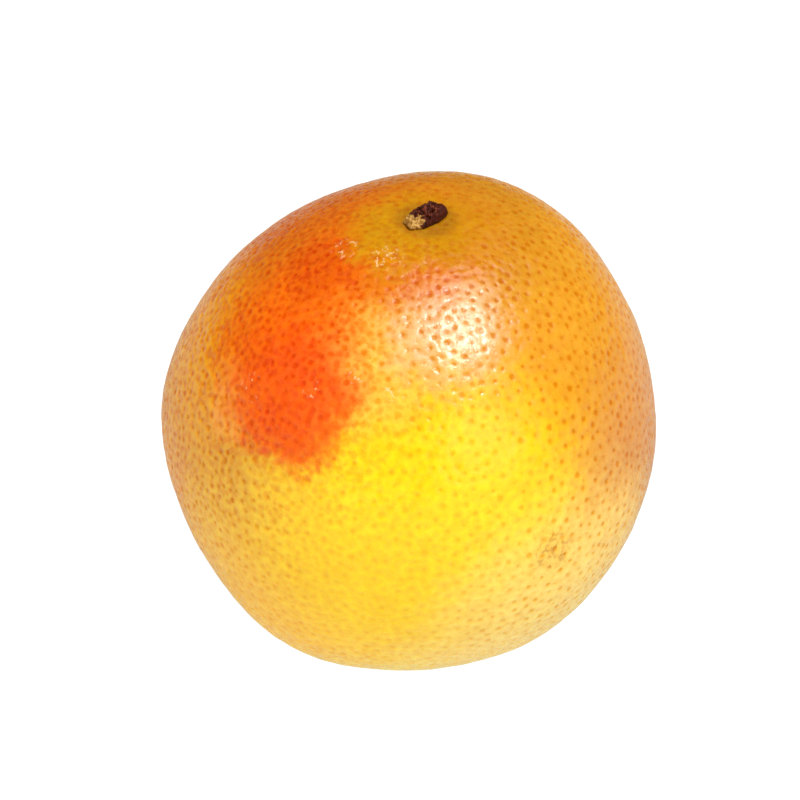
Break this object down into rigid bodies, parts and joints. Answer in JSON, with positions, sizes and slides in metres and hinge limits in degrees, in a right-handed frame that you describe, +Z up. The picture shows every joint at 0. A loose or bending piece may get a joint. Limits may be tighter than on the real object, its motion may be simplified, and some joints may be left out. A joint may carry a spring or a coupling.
{
  "type": "grapefruit",
  "caption": "Whole ripe grapefruit with a pitted, waxy yellow rind, a red-orange blush and a dry stem button, resting on a small flat spot.",
  "frame": {"origin": "centre of the small flat spot that the fruit rests on", "axes": "+Z up, square to the flat spot; -Y towards the side of the fruit with the red-orange blush; +X to the right as seen from that side"},
  "size_m": [0.1061, 0.107, 0.1056],
  "materials": {
    "rind": "satin",
    "stem_wood": "matte"
  },
  "bodies": {
    "root": {"fruit": "rind", "stem_button": "stem_wood"}
  },
  "joints": []
}
